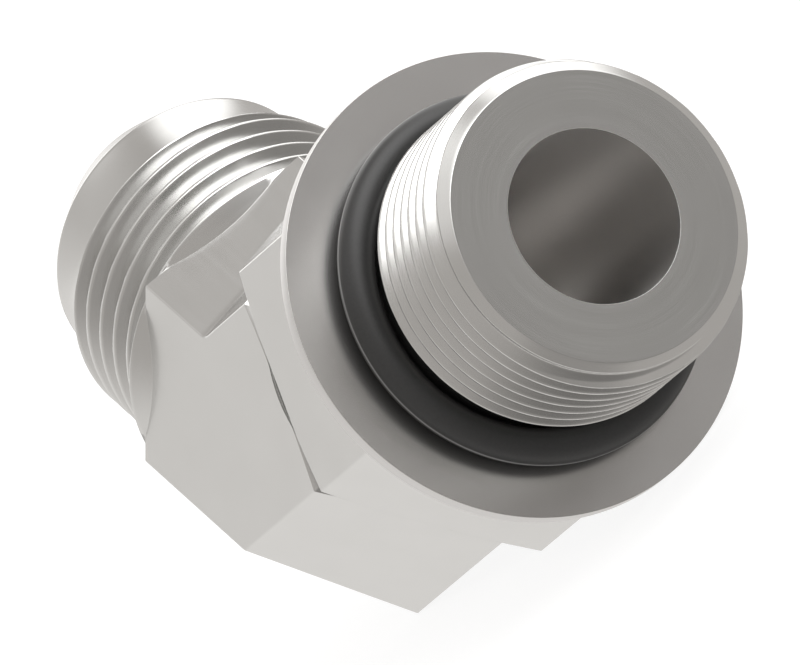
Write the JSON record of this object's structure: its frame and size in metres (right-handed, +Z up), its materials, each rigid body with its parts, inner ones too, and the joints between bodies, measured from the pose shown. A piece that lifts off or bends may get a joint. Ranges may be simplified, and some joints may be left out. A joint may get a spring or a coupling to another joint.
{
  "type": "elbow adapter",
  "caption": "45 degree elbow adapter: flared male end, hexagonal body, and an adjustable port stud with lock nut, backup washer and O-ring.",
  "frame": {"origin": "bottom centre of the bounding box, as the loose fitting lies at rest on its outer mitre edge and the backup washer's rim", "axes": "+Z up at rest, +X the way the port stud points seen from above (the stud rises 8.7 degrees above it), +Y to complete the right-handed frame"},
  "size_m": [0.0802, 0.0406, 0.0388],
  "materials": {
    "body_steel": "bright plated steel, fine satin",
    "nut_steel": "bright plated steel, fine satin",
    "washer_steel": "dull plated steel, fine grain",
    "rubber": "black nitrile, semi-matt"
  },
  "bodies": {
    "elbow": {"elbow_body": "body_steel", "o_ring": "rubber"},
    "washer": {"backup_washer": "washer_steel"},
    "nut": {"lock_nut": "nut_steel"}
  },
  "joints": [
    {"name": "washer_travel", "type": "slide", "parent": "elbow", "child": "washer", "axis": [-0.9884, 0, -0.1521], "range_m": [0, 0.00451]},
    {"name": "nut_turn", "type": "hinge", "parent": "washer", "child": "nut", "pos_m": [0.02162, -0.00168, 0.0186], "axis": [-0.9884, 0, -0.1521], "range_deg": [0, 1012]}
  ],
  "couplings": [
    {"joint": "washer_travel", "follows": "nut_turn", "m_per_rad": 0.00025465}
  ]
}
